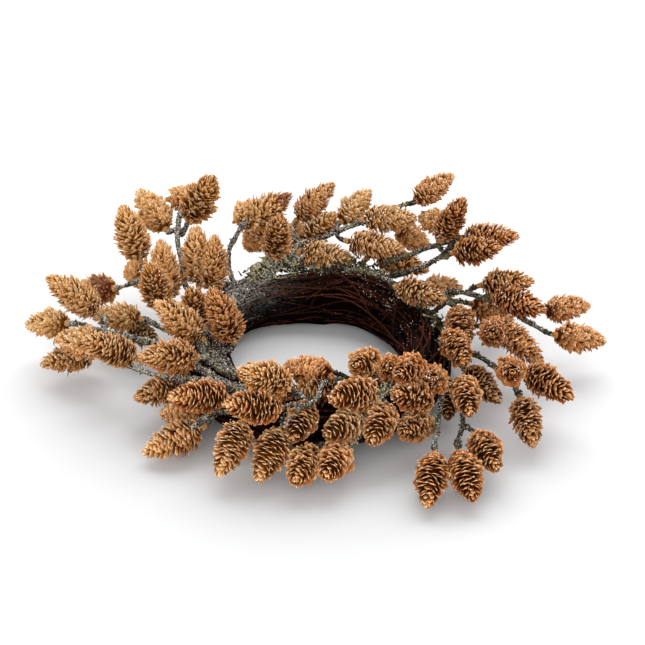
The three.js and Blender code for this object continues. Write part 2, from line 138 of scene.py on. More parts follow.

# Each spray is one twig with its cones, placed as in the model of the frame. A place is in degrees round the
# ring from +X towards the back, metres out from the bundle's middle, and metres up from the table.
# girth and twig: how thick its cones and its twigs are, as shares of the usual. fluff: how ragged and spread
# the cones are. dim: the least painted shade on its cones, darkening them as if they lay in shade. shaded:
# the numbers of the cones painted darkest, as lying in the deepest shade. stained: the red ones by number,
# with the shares of their length that are red. unlike: cones with a fluff and a warmth of their own.
# seat: where the twig lies on the bundle, as degrees round the ring and degrees over the bundle, which are 0
# at its outer side, 90 on its top and 180 at its inner side. reach: the rest of the twig's way. forks: side
# twigs, each leaving the twig where it comes closest.
# cones: the foot's place, then turn from the outward direction, rise, and length.
SPRAYS = [
    {"name": "back_left", "girth": 1.12, "twig": 0.95, "fluff": 0.9,
     "seat": [(127, 78), (135, 55), (142, 34)],
     "reach": [(146, 0.03, 0.03), (142, 0.039, 0.042), (138, 0.05, 0.05), (133, 0.06, 0.058)],
     "forks": [[(136, 0.064, 0.0485)], [(134, 0.055, 0.05), (129, 0.063, 0.0505)]],
     "cones": [
        (135.5, 0.068, 0.0505, -10, 25, 0.034), (127.3, 0.073, 0.0605, -29, -20, 0.029),
        (128.5, 0.061, 0.055, -150, 62, 0.037), (144, 0.023, 0.0345, -47, 60, 0.036),
        (142.5, 0.015, 0.032, -62, 66, 0.034)]},
    {"name": "left_back", "girth": 1.12, "twig": 1, "fluff": 0.9, "stained": {5: (0, 0.5)},
     "seat": [(146, 62), (152, 40), (154, 20)],
     "reach": [(152, 0.03, 0.022), (152, 0.044, 0.027), (151, 0.055, 0.034)],
     "cones": [
        (148.5, 0.0625, 0.044, 0, 72, 0.036), (155, 0.035, 0.029, -55, 60, 0.037),
        (165, 0.0315, 0.036, 70, 77, 0.033), (147.5, 0.061, 0.03, -34, -18, 0.03),
        (159, 0.068, 0.033, -12, -20, 0.032)]},
    {"name": "left", "girth": 1.05, "twig": 0.95, "fluff": 0.9, "dim": 0.35, "shaded": [4],
     "seat": [(165, 52), (174, 44), (181, 28)],
     "reach": [(182, 0.027, 0.025), (180, 0.042, 0.027), (179, 0.058, 0.03), (178, 0.07, 0.032)],
     "forks": [[(171, 0.027, 0.025), (169, 0.036, 0.027)]],
     "cones": [
        (175, 0.065, 0.0395, -8, 33, 0.036), (176, 0.084, 0.031, -25, -18, 0.032),
        (169, 0.043, 0.028, -6, -5, 0.032), (166, 0.05, 0.015, 148, 10, 0.026)]},
    {"name": "left_low", "girth": 1.06, "twig": 0.9, "fluff": 0.65, "dim": 0.4,
     "seat": [(233, 66), (224, 48), (215, 32)],
     "reach": [(207, 0.024, 0.023), (200, 0.036, 0.025), (194, 0.048, 0.026), (189, 0.058, 0.027)],
     "cones": [
        (188, 0.059, 0.032, -33, -5, 0.034), (195, 0.043, 0.032, 0, 30, 0.034),
        (178, 0.068, 0.0145, 28, 0, 0.033), (209, 0.02, 0.03, -75, -20, 0.026),
        (205, 0.018, 0.019, 6, 0, 0.033)]},
    {"name": "left_inner", "girth": 1.12, "twig": 1, "fluff": 0.85, "dim": 0.25,
     "seat": [(174, 92), (188, 86), (202, 84), (216, 88)],
     "cones": [
        (197, 0.004, 0.041, -35, 34, 0.034), (177, 0.003, 0.034, 65, 74, 0.032),
        (197.5, -0.0155, 0.0365, -32, 68, 0.035), (212, 0.016, 0.0415, -10, 14, 0.034)]},
    {"name": "front_left", "girth": 1.06, "twig": 0.9, "fluff": 0.32,
     "seat": [(247, 60), (239, 38), (231, 16)],
     "reach": [(228, 0.021, 0.017)],
     "forks": [[(243, 0.021, 0.026), (246, 0.028, 0.027)]],
     "cones": [
        (231, 0.016, 0.028, -27, 14, 0.035), (225, 0.022, 0.018, -67, -20, 0.032),
        (230.5, 0.0365, 0.0165, -32, -16, 0.035), (246, 0.033, 0.027, -2, -28, 0.034)]},
    {"name": "front", "girth": 1.1, "twig": 0.95, "fluff": 0.22, "shaded": [6, 7],
     "unlike": {1: (0.3, 0.9), 2: (0.95, 0.1)},
     "seat": [(280, 106), (271, 92), (264, 70)],
     "reach": [(260, 0.013, 0.029), (258, 0.02, 0.026)],
     "forks": [[(263, 0.01, 0.036), (261, 0.014, 0.042)]],
     "cones": [
        (277, -0.008, 0.0385, -133, -10, 0.032), (259, 0.017, 0.048, -55, 31, 0.034),
        (260, 0.01, 0.039, -108, -7, 0.029), (257, 0.026, 0.038, -53, 19, 0.034),
        (258, 0.0265, 0.022, -12, -22, 0.034), (267, 0.019, 0.035, -13, -5, 0.03),
        (281, -0.002, 0.032, -101, -4, 0.029)]},
    {"name": "front_middle", "girth": 1.12, "twig": 0.9, "fluff": 0.22, "shaded": [2],
     "seat": [(301, 78), (294, 48), (287, 18)],
     "reach": [(281, 0.018, 0.014), (273, 0.022, 0.012)],
     "cones": [
        (295, 0.011, 0.035, -77, 15, 0.033), (285.5, 0.0195, 0.026, -52, 8, 0.03),
        (298, 0.018, 0.026, -45, -3, 0.032), (268.5, 0.031, 0.013, -15, 2, 0.032),
        (278.5, 0.031, 0.014, -26, 6, 0.032)]},
    {"name": "front_right_inner", "girth": 1.08, "twig": 0.9, "fluff": 0.65,
     "seat": [(308, 96), (316, 80)],
     "reach": [(317, 0.01, 0.028), (316, 0.019, 0.026), (313, 0.024, 0.022)],
     "cones": [
        (307, -0.0105, 0.0375, -63, 29, 0.032), (310, 0.001, 0.037, -50, 37, 0.029),
        (316, 0.013, 0.043, -69, 20, 0.031), (322, 0.02, 0.032, -62, 34, 0.03),
        (311, 0.029, 0.03, -92, 34, 0.032), (311.5, 0.0275, 0.0155, -71, 17, 0.031)]},
    {"name": "front_right", "girth": 1.02, "twig": 0.75, "fluff": 0.3, "shaded": [1],
     "seat": [(333, 66), (329, 44)],
     "reach": [(325, 0.022, 0.025), (318, 0.029, 0.021), (311, 0.038, 0.017), (304, 0.051, 0.016)],
     "forks": [[(327, 0.03, 0.022), (317, 0.047, 0.019), (311, 0.054, 0.016)]],
     "cones": [
        (333, 0.022, 0.018, -72, -14, 0.025), (328, 0.033, 0.031, -55, -5, 0.032),
        (301, 0.0605, 0.018, -41, -19, 0.034), (307, 0.066, 0.017, -27, -12, 0.034),
        (315.5, 0.0605, 0.018, -30, -2, 0.032)]},
    {"name": "right_front", "girth": 1, "twig": 0.75, "fluff": 0.6, "shaded": [1],
     "seat": [(358, 62), (350, 44)],
     "reach": [(346, 0.026, 0.031), (340, 0.042, 0.032), (335, 0.057, 0.031), (333, 0.062, 0.027)],
     "cones": [
        (344, 0.026, 0.02, -39, -8, 0.032), (338, 0.053, 0.034, -69, 27, 0.031),
        (341.5, 0.063, 0.03, -30, -2, 0.035), (333, 0.065, 0.022, -54, -19, 0.033),
        (346, 0.014, 0.041, -62, -1, 0.032)]},
    {"name": "right", "girth": 1.04, "twig": 0.75, "fluff": 0.72,
     "seat": [(24, 62), (17, 44)],
     "reach": [(10, 0.022, 0.028), (4, 0.033, 0.031), (359, 0.041, 0.035)],
     "forks": [[(24, 0.022, 0.031), (21, 0.033, 0.03)]],
     "cones": [
        (11, 0.021, 0.035, -100, -5, 0.033), (0, 0.04, 0.0325, -101, 25, 0.032),
        (21, 0.037, 0.028, -9, -31, 0.031), (357, 0.044, 0.0375, -25, -33, 0.032)]},
    {"name": "right_back", "girth": 1, "twig": 0.8, "fluff": 0.72,
     "seat": [(48, 72), (40, 60), (33, 46)],
     "reach": [(27, 0.026, 0.034), (17, 0.037, 0.038), (12, 0.048, 0.035), (5, 0.059, 0.033),
        (360, 0.069, 0.032)],
     "forks": [[(10, 0.058, 0.033), (9, 0.067, 0.034)]],
     "cones": [
        (39, -0.001, 0.038, -72, 3, 0.033), (39, 0.022, 0.029, -4, -18, 0.03),
        (20, 0.042, 0.042, -42, 17, 0.033), (12, 0.044, 0.042, -44, 2, 0.034),
        (8, 0.074, 0.0345, 16, -7, 0.031), (0, 0.0775, 0.029, 15, -16, 0.033)]},
    {"name": "back_right", "girth": 1, "twig": 0.8, "fluff": 0.75,
     "seat": [(76, 86), (71, 78), (66, 72), (59, 60)],
     "reach": [(51, 0.02, 0.033), (43, 0.026, 0.041), (40, 0.033, 0.046)],
     "forks": [[(37, 0.034, 0.048)], [(39, 0.041, 0.052), (38, 0.046, 0.055)]],
     "cones": [
        (48, 0.055, 0.055, 75, -16, 0.03), (44, 0.041, 0.054, -55, 65, 0.033),
        (37, 0.049, 0.057, -49, 8, 0.034), (33, 0.036, 0.054, -61, 21, 0.032),
        (42, 0.055, 0.043, -25, -4, 0.031), (66, 0.03, 0.033, -85, -7, 0.034)]},
    {"name": "back", "girth": 1.04, "twig": 0.8, "fluff": 0.6,
     "seat": [(122, 98), (115, 90)],
     "reach": [(108, 0.015, 0.033), (101, 0.022, 0.037), (94, 0.026, 0.041), (86, 0.025, 0.046),
        (79, 0.027, 0.051), (69, 0.037, 0.056), (62, 0.054, 0.061)],
     "cones": [
        (59.5, 0.0605, 0.062, -22, 17, 0.031), (72, 0.034, 0.056, -74, 2, 0.033),
        (81, 0.038, 0.051, -31, 19, 0.031), (75, 0.016, 0.0485, -82, -6, 0.034),
        (64, 0.055, 0.039, -32, -36, 0.03), (96, 0.015, 0.04, -101, -7, 0.034),
        (109, 0.015, 0.04, -154, 78, 0.033), (101, 0.039, 0.035, -37, -4, 0.029),
        (96, 0.045, 0.048, -66, 35, 0.033), (94.5, 0.034, 0.034, -102, 52, 0.033)]},
    {"name": "back_middle", "girth": 1.12, "twig": 0.85, "fluff": 0.8, "stained": {2: (0.72, 1)},
     "seat": [(112, 44), (119, 50), (127, 54)],
     "reach": [(126, 0.027, 0.033), (124, 0.031, 0.042), (121, 0.031, 0.05), (119, 0.031, 0.055)],
     "forks": [[(113, 0.024, 0.027), (107, 0.028, 0.028), (101, 0.029, 0.03)]],
     "cones": [
        (116.5, 0.032, 0.0605, -22, -14, 0.027), (116.5, 0.0315, 0.0575, -100, 28, 0.034),
        (108, 0.043, 0.044, 20, -50, 0.03)]},
]

FLOOR_REACH = 8.0
FLOOR_COLOUR = (0.634, 0.64, 0.648, 1)
LIGHTS_AIM = (0, 0, 0.03)
SKY_LOW = 1.55  # the sky's strength at the horizon
SKY_HIGH = 0.32  # and overhead
CAMERA_AIM = (0.0039, 0.062, 0.0)
CAMERA_AWAY = 1.2
CAMERA_ELEVATION = math.radians(31.5)
CAMERA_LENS = 106.7  # millimetres, on a sensor 36 mm wide


# Places and directions

def place(spot):
    """The point at (degrees round the ring, metres out from the bundle's middle, metres up)."""
    angle = math.radians(spot[0])
    distance = RING_RADIUS + spot[1]
    return np.array([distance * math.cos(angle), distance * math.sin(angle), spot[2]])


def degrees_from(middle, angles):
    return (angles - middle + 180) % 360 - 180


def bundle_at(rounds):
    """How far outside the even ring the bundle's middle lies, and its radius, at places round the ring."""
    farther, radius = 0.0, BUNDLE_RADIUS
    for at, spread, out, thicker in BULGES:
        share = np.exp(-(degrees_from(at, rounds) / spread) ** 2)
        farther = farther + out * share
        radius = radius + thicker * share
    return farther, radius


def on_bundle(rounds, overs, lifts):
    """Points at some height over the bundle's surface, and the outward direction there. Angles in degrees."""
    a, b = np.radians(rounds), np.radians(overs)
    farther, radius = bundle_at(rounds)
    out = RING_RADIUS + farther + (radius + lifts) * np.cos(b)
    up = radius - BUNDLE_PRESSED + (radius + lifts) * np.sin(b)
    points = np.stack([out * np.cos(a), out * np.sin(a), up], axis=-1)
    outward = np.stack([np.cos(b) * np.cos(a), np.cos(b) * np.sin(a), np.sin(b)], axis=-1)
    return points, outward


def direction(heading, rise):
    level = math.cos(math.radians(rise))
    angle = math.radians(heading)
    return np.array([level * math.cos(angle), level * math.sin(angle), math.sin(math.radians(rise))])


def unit(vectors):
    return vectors / np.linalg.norm(vectors, axis=-1, keepdims=True)


def any_side_of(along):
    across = np.array([0.0, 0.0, 1.0]) if abs(along[2]) < 0.9 else np.array([1.0, 0.0, 0.0])
    return unit(np.cross(across, along))


def directions_round(angles, side, across):
    """Directions at angles from one direction towards another at right angles to it."""
    angles = angles[:, None]
    return np.cos(angles) * side[..., None, :] + np.sin(angles) * across[..., None, :]


def directions_along(way, closed=False):
    if closed:
        return unit(np.roll(way, -1, axis=0) - np.roll(way, 1, axis=0))
    return unit(np.vstack([way[1:], way[-1:]]) - np.vstack([way[:1], way[:-1]]))


def spaced(way, count):
    """count + 1 points at equal steps along a fine way of points."""
    lengths = np.concatenate([[0], np.cumsum(np.linalg.norm(np.diff(way, axis=0), axis=1))])
    at = np.linspace(0, lengths[-1], count + 1)
    return np.stack([np.interp(at, lengths, way[:, k]) for k in range(3)], axis=1)


def length_of(way):
    return float(np.linalg.norm(np.diff(way, axis=0), axis=1).sum())


def smooth_way(places):
    """A centripetal Catmull-Rom curve through the places, as a fine way of points."""
    points = np.array(places)
    before, after = 2 * points[0] - points[1], 2 * points[-1] - points[-2]
    points = np.vstack([before, points, after])
    way = []
    for p0, p1, p2, p3 in zip(points, points[1:], points[2:], points[3:]):
        d0, d1, d2 = (math.sqrt(np.linalg.norm(b - a)) for a, b in ((p0, p1), (p1, p2), (p2, p3)))
        leave = ((p1 - p0) / d0 - (p2 - p0) / (d0 + d1) + (p2 - p1) / d1) * d1
        arrive = ((p2 - p1) / d1 - (p3 - p1) / (d1 + d2) + (p3 - p2) / d2) * d1
        t = np.linspace(0, 1, 40, endpoint=False)[:, None]
        way.append(
            (2 * t**3 - 3 * t**2 + 1) * p1
            + (t**3 - 2 * t**2 + t) * leave
            + (3 * t**2 - 2 * t**3) * p2
            + (t**3 - t**2) * arrive
        )
    return np.vstack([*way, points[-2]])


def bezier(a, b, c, d, count):
    t = np.linspace(0, 1, count + 1)[:, None]
    return (1 - t) ** 3 * a + 3 * (1 - t) ** 2 * t * b + 3 * (1 - t) * t**2 * c + t**3 * d


# Parts of a mesh: points, lists of faces with an equal number of corners, and named values at the points

def part(points, faces, **marks):
    values = {name: np.broadcast_to(value, len(points)) for name, value in marks.items()}
    return {"points": points, "faces": faces, "marks": values}


def add_object(name, data):
    made = bpy.data.objects.new(name, data)
    bpy.context.scene.collection.objects.link(made)
    return made


def make_piece(name, parts, material, replaces=(), smooth=True):
    points = np.concatenate([each["points"] for each in parts])
    corners, sides, start = [], [], 0
    for each in parts:
        for faces in each["faces"]:
            corners.append((faces + start).ravel())
            sides.append(np.full(len(faces), faces.shape[1]))
        start += len(each["points"])
    corners, sides = np.concatenate(corners), np.concatenate(sides)
    mesh = bpy.data.meshes.new(name)
    mesh.vertices.add(len(points))
    mesh.vertices.foreach_set("co", points.astype(np.float32).ravel())
    mesh.loops.add(len(corners))
    mesh.loops.foreach_set("vertex_index", corners.astype(np.int32))
    mesh.polygons.add(len(sides))
    mesh.polygons.foreach_set("loop_start", np.concatenate([[0], np.cumsum(sides)[:-1]]).astype(np.int32))
    mesh.polygons.foreach_set("use_smooth", np.full(len(sides), smooth))
    mesh.update(calc_edges=True)
    for mark in parts[0]["marks"]:
        values = np.concatenate([each["marks"][mark] for each in parts])
        attribute = mesh.attributes.new(mark, "FLOAT", "POINT")
        attribute.data.foreach_set("value", values.astype(np.float32))
    mesh.materials.append(material)
    piece = add_object(name, mesh)
    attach(piece, "root")
    if replaces:
        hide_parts(*replaces)
    return piece


def wall(rings, sides, closed=False):
    """Faces between neighbouring rings of points that are numbered one ring after the other."""
    ring, side = np.meshgrid(np.arange(rings if closed else rings - 1), np.arange(sides), indexing="ij")
    after = (ring + 1) % rings
    beside = (side + 1) % sides
    quads = [ring * sides + side, ring * sides + beside, after * sides + beside, after * sides + side]
    return np.stack([each.ravel() for each in quads], axis=1)


def ends(rings, sides):
    """The faces that close the first and the last of such rings."""
    last = np.arange(sides)[None, :]
    return [last[:, ::-1], last + (rings - 1) * sides]


def rings_along(way, radii, sides, last_side):
    """Rings of points, each turned as little as can be from the next, so that they don't twist."""
    along = directions_along(way)
    rings = np.empty((len(way), sides, 3))
    angles = 2 * math.pi * np.arange(sides) / sides
    side = last_side
    for i in range(len(way) - 1, -1, -1):
        side = unit(side - np.dot(side, along[i]) * along[i])
        across = np.cross(along[i], side)
        rings[i] = way[i] + radii[i][:, None] * directions_round(angles, side, across)
    return rings


def tube(way, radii, sides, **marks):
    """A closed tube along a way. Each ring has one radius or one for each of its points."""
    along = unit(way[-1] - way[-2])
    rings = rings_along(way, radii, sides, any_side_of(along))
    return part(rings.reshape(-1, 3), [wall(len(way), sides), *ends(len(way), sides)], **marks)


OCTAHEDRON = np.array([[1, 0, 0], [-1, 0, 0], [0, 1, 0], [0, -1, 0], [0, 0, 1], [0, 0, -1]], float)
OCTAHEDRON_FACES = np.array(
    [[0, 2, 4], [2, 1, 4], [1, 3, 4], [3, 0, 4], [2, 0, 5], [1, 2, 5], [3, 1, 5], [0, 3, 5]]
)


def repeated(points, faces):
    """Points of many copies as rows of one list, with the faces of one copy repeated for each."""
    copies, corners = points.shape[0], points.shape[1]
    starts = (np.arange(copies) * corners)[:, None, None]
    return points.reshape(-1, 3), [(each[None] + starts).reshape(-1, each.shape[1]) for each in faces]


def crumbs(centres, sizes, rng, **marks):
    """Uneven grains, one at each centre."""
    count = len(centres)
    stretch = rng.uniform(0.55, 1.35, (count, 6, 1))
    tilt = rng.normal(0, 0.35, (count, 6, 3))
    points = centres[:, None] + sizes[:, None, None] * (OCTAHEDRON * stretch + tilt)
    points, faces = repeated(points, [OCTAHEDRON_FACES])
    return part(points, faces, **(marks or {"shade": np.repeat(rng.random(count), 6)}))


# Materials

class Material:
    """A node material, built by short calls that return the output sockets."""

    def __init__(self, name, **constants):
        self.material = bpy.data.materials.new(name)
        self.material.use_nodes = True
        self.tree = self.material.node_tree
        self.shader = self.tree.nodes["Principled BSDF"]
        self.set(**constants)

    def node(self, kind, settings=None, **inputs):
        made = self.tree.nodes.new(kind)
        for name, value in (settings or {}).items():
            setattr(made, name, value)
        for name, value in inputs.items():
            self.fill(made.inputs[name.replace("_", " ")], value)
        return made

    def fill(self, socket, value):
        if isinstance(value, bpy.types.NodeSocket):
            self.tree.links.new(value, socket)
        else:
            socket.default_value = value

    def mark(self, name):
        return self.node("ShaderNodeAttribute", {"attribute_name": name}).outputs["Fac"]

    def noise(self, scale, detail, roughness=0.6):
        where = self.node("ShaderNodeTexCoord").outputs["Object"]
        values = {"Vector": where, "Scale": scale, "Detail": detail, "Roughness": roughness}
        return self.node("ShaderNodeTexNoise", **values).outputs["Fac"]

    def ramp(self, value, low, high, to_low=0.0, to_high=1.0):
        values = {"Value": value, "From Min": low, "From Max": high, "To Min": to_low, "To Max": to_high}
        return self.node("ShaderNodeMapRange", {"clamp": True}, **values).outputs["Result"]

    def math(self, operation, first, second):
        made = self.node("ShaderNodeMath", {"operation": operation})
        self.fill(made.inputs[0], first)
        self.fill(made.inputs[1], second)
        return made.outputs["Value"]

    def times(self, first, second):
        return self.math("MULTIPLY", first, second)

    def mix(self, share, first, second):
        made = self.node("ShaderNodeMix", {"data_type": "RGBA"})
        self.fill(made.inputs["Factor"], share)
        self.fill(made.inputs[6], first)
        self.fill(made.inputs[7], second)
        return made.outputs[2]

    def bump(self, height, distance, strength):
        made = self.node("ShaderNodeBump", Height=height, Distance=distance, Strength=strength)
        self.set(Normal=made.outputs["Normal"])

    def set(self, **sockets):
        for name, value in sockets.items():
            self.fill(self.shader.inputs[name.replace("_", " ")], value)
        return self.material


def colour(red, green, blue):
    """A linear colour from sRGB values of 0 to 255."""
    def linear(value):
        share = value / 255
        return share / 12.92 if share <= 0.04045 else ((share + 0.055) / 1.055) ** 2.4
    return (linear(red), linear(green), linear(blue), 1.0)


def cone_material():
    made = Material("cone_scales", Roughness=0.65, Specular_IOR_Level=0.06)
    along, edge, inner, shade, warm, ragged, frost, dim = (
        made.mark(name) for name in ("along", "edge", "inner", "shade", "warm", "ragged", "frost", "dim")
    )
    patches, mottle = made.noise(240, 2.0), made.noise(1300, 3.0, 0.7)
    golden = made.mix(patches, colour(212, 142, 52), colour(176, 102, 22))
    russet = made.mix(patches, colour(202, 92, 10), colour(144, 52, 2))
    body = made.mix(warm, golden, russet)
    body = made.mix(made.ramp(shade, 0.4, 1.0, 0.0, 0.6), body, colour(130, 64, 12))
    # The scales darken towards their roots: painted shade in the gaps between them, which the cone's middle
    # takes too.
    painted_gap_shade = made.mix(warm, colour(126, 72, 20), colour(56, 16, 2))
    shaded_body = made.mix(made.ramp(along, 0.3, 0.85), painted_gap_shade, body)
    # Painted shade: a cone marked dim gets a darker colour, and less of its frost and rims shows.
    shaded_body = made.mix(made.times(dim, 0.5), shaded_body, colour(50, 22, 8))
    # Frost lies along the edges of the scales, and on ragged cones in flecks over their outer side too.
    frost_and_painted_shade = made.times(made.ramp(frost, 0.0, 0.8, 0.3, 1.0), made.ramp(dim, 0.0, 1.0, 1.0, 0.7))
    flecks = made.times(made.ramp(made.noise(1150, 4.0, 0.75), 0.49, 0.53), made.ramp(along, 0.4, 0.75))
    flecks = made.times(flecks, made.ramp(inner, 0.2, 0.8, 1.0, 0.4))
    flecks = made.times(flecks, made.ramp(ragged, 0.1, 0.8, 0.2, 0.85))
    pale = made.mix(warm, colour(250, 212, 140), colour(242, 172, 92))
    flecked = made.mix(made.times(flecks, frost_and_painted_shade), shaded_body, pale)
    rim = made.times(made.ramp(edge, 0.5, 0.85), made.ramp(along, 0.5, 0.8))
    rim = made.math("MAXIMUM", rim, made.ramp(along, 0.78, 0.94))
    rim = made.times(rim, made.ramp(mottle, 0.36, 0.48, 0.2, 1.0))
    rim = made.times(rim, made.ramp(ragged, 0.0, 1.0, 1.0, 0.4))
    icing = made.mix(warm, colour(255, 222, 168), colour(248, 186, 110))
    rimmed = made.mix(made.times(rim, frost_and_painted_shade), flecked, icing)
    specks = made.times(made.ramp(made.noise(1100, 3.0, 0.75), 0.55, 0.58), made.ramp(along, 0.5, 0.85))
    specks = made.times(specks, made.ramp(frost, 0.1, 0.8, 0.15, 0.8))
    sparkling = made.mix(specks, rimmed, colour(252, 236, 206))
    made.bump(mottle, 0.00025, 0.6)
    stained = made.times(made.mark("stain"), 0.8)
    return made.set(Base_Color=made.mix(stained, sparkling, colour(100, 14, 26)))


def vine_material():
    made = Material("vine_bark", Roughness=0.6, Specular_IOR_Level=0.02)
    grain = made.noise(1100, 4.0)
    streaks = made.ramp(grain, 0.35, 0.65)
    dark = made.mix(streaks, colour(2, 0, 0), colour(14, 4, 2))
    red = made.mix(streaks, colour(24, 8, 6), colour(100, 54, 38))
    bark = made.mix(made.ramp(made.mark("shade"), 0.5, 1.0), dark, red)
    white = made.times(made.ramp(made.noise(700, 4.0, 0.75), 0.46, 0.54), made.mark("frost"))
    base = made.mix(white, bark, colour(214, 206, 196))
    made.bump(grain, 0.0003, 0.7)
    return made.set(Base_Color=base)


def bark_material():
    made = Material("twig_bark", Roughness=0.8, Specular_IOR_Level=0.08)
    grain, blotches = made.noise(900, 5.0, 0.75), made.noise(420, 4.0, 0.75)
    amount = made.mark("frost")
    dark = made.mix(made.ramp(grain, 0.38, 0.66), colour(16, 12, 7), colour(72, 58, 36))
    grey = made.mix(made.ramp(grain, 0.4, 0.64), colour(24, 19, 13), colour(84, 74, 56))
    bark = made.mix(made.ramp(amount, 0.35, 1.0, 0.0, 0.85), dark, grey)
    green = made.mix(made.ramp(made.noise(110, 2.0), 0.52, 0.66, 0.0, 0.7), bark, colour(100, 94, 44))
    crust = made.times(made.ramp(blotches, 0.51, 0.57), made.ramp(amount, 0.1, 1.0, 0.0, 0.95))
    pale = made.mix(crust, green, colour(196, 188, 172))
    spots = made.ramp(made.noise(950, 3.0, 0.7), 0.54, 0.59)
    specks = made.times(spots, made.ramp(amount, 0.1, 1.0, 0.1, 0.95))
    made.bump(grain, 0.0007, 1.0)
    return made.set(Base_Color=made.mix(specks, pale, colour(226, 222, 214)))


def frost_material():
    made = Material("frost_grains", Roughness=0.35, Specular_IOR_Level=0.6)
    base = made.mix(made.mark("shade"), colour(196, 190, 178), colour(252, 250, 246))
    return made.set(Base_Color=base)


def lichen_material():
    made = Material("lichen", Roughness=0.9, Specular_IOR_Level=0.15)
    base = made.mix(made.mark("shade"), colour(96, 84, 58), colour(196, 186, 148))
    green = made.mix(made.ramp(made.noise(80, 2.0), 0.5, 0.62), base, colour(180, 166, 70))
    frost = made.ramp(made.noise(1300, 3.0, 0.7), 0.48, 0.58, 0.0, 0.9)
    return made.set(Base_Color=made.mix(frost, green, colour(226, 224, 214)))


# Vine ring

def strand(rounds, overs, lifts, radii, sides, shade, closed):
    points, outward = on_bundle(rounds, overs, lifts)
    points[:, 2] = np.maximum(points[:, 2], radii)
    along = directions_along(points, closed)
    side = unit(outward - (outward * along).sum(1)[:, None] * along)
    across = np.cross(along, side)
    angles = 2 * math.pi * np.arange(sides) / sides
    rings = points[:, None] + radii[:, None, None] * directions_round(angles, side, across)
    rings[:, :, 2] = np.maximum(rings[:, :, 2], 0)
    faces = [wall(len(points), sides, closed), *([] if closed else ends(len(points), sides))]
    return part(rings.reshape(-1, 3), faces, shade=shade, frost=np.repeat(vine_frost(rounds, overs), sides))


def vine_frost(rounds, overs):
    """How frosted the vines are: most at the left back, on the outer and upper side."""
    return np.exp(-(degrees_from(143, rounds) / 24) ** 2 - (degrees_from(70, overs) / 60) ** 2)


def waves(rounds, rng, most, fastest=7):
    """A slow uneven wander that closes on itself after one turn."""
    total, count = np.zeros(len(rounds)), 3
    for _ in range(count):
        turns = rng.integers(1, fastest + 1)
        height, start = rng.uniform(0.3, 1.0), rng.uniform(0, 2 * math.pi)
        total += height * most / count * np.sin(np.radians(turns * rounds) + start)
    return total


def vine_ring(material):
    rng = np.random.default_rng([SEED, 1])
    rounds = 360 * np.arange(STRAND_STEPS) / STRAND_STEPS
    parts = []
    for i in range(STRANDS):
        over = 360 * (i + rng.uniform(-0.4, 0.4)) / STRANDS * STRAND_ROUNDS
        lifts = rng.uniform(*STRAND_DEPTHS) - waves(rounds, rng, 0.0011, fastest=12)
        lifts = np.minimum(lifts, STRAND_HIGHEST)
        overs = over + waves(rounds, rng, 30)
        radii = rng.uniform(*STRAND_RADII) * (1 + waves(rounds, rng, 0.25, fastest=16))
        parts.append(strand(rounds, overs, lifts, radii, STRAND_SIDES, rng.random(), True))
    for _ in range(LOOSE_STRANDS):
        start, span = rng.uniform(0, 360), rng.uniform(25, 100)
        steps = np.linspace(0, 1, 24)
        overs = rng.uniform(20, 190) + rng.uniform(-85, 85) * steps
        lifts = STRAND_HIGHEST + np.sin(math.pi * steps) * rng.uniform(*LOOSE_LIFTS)
        lifts -= np.maximum(0, np.abs(steps - 0.5) * 2 - 0.85) * LOOSE_END_DIP
        radii = np.full(len(steps), rng.uniform(*LOOSE_RADII))
        shade = rng.uniform(0.4, 1)
        parts.append(strand(start + span * steps, overs, lifts, radii, STRAND_SIDES, shade, False))
    for _ in range(FROSTED_STRANDS):
        start, span = rng.uniform(112, 150), rng.uniform(12, 34)
        steps = np.linspace(0, 1, 16)
        overs = rng.uniform(20, 140) + rng.uniform(-70, 70) * steps
        lifts = STRAND_HIGHEST + np.sin(math.pi * steps) * rng.uniform(*FROSTED_LIFTS)
        radii = np.full(len(steps), rng.uniform(*FROSTED_RADII))
        parts.append(strand(start + span * steps, overs, lifts, radii, STRAND_SIDES, 0.4, False))
    for first, last, low, high, radius in BINDERS:
        steps = np.linspace(0, 1, 26)
        lifts = np.where((steps == 0) | (steps == 1), -0.002, BINDER_LIFT)
        radii = radius * (1 + waves(360 * steps, rng, 0.2))
        overs = low + (high - low) * steps
        parts.append(strand(first + (last - first) * steps, overs, lifts, radii, 6, 0.62, False))
    # The dark core: one thick strand in the middle.
    _, radius = bundle_at(rounds)
    parts.append(strand(rounds, np.full(len(rounds), 90.0), -radius, radius - CORE_DEPTH, 16, 0.0, True))
    return make_piece("vines", parts, material, ["vine_ring"])


# Sprays

def radius_of_cone(share):
    places, radii = zip(*CONE_RADII)
    return np.interp(share, places, radii)


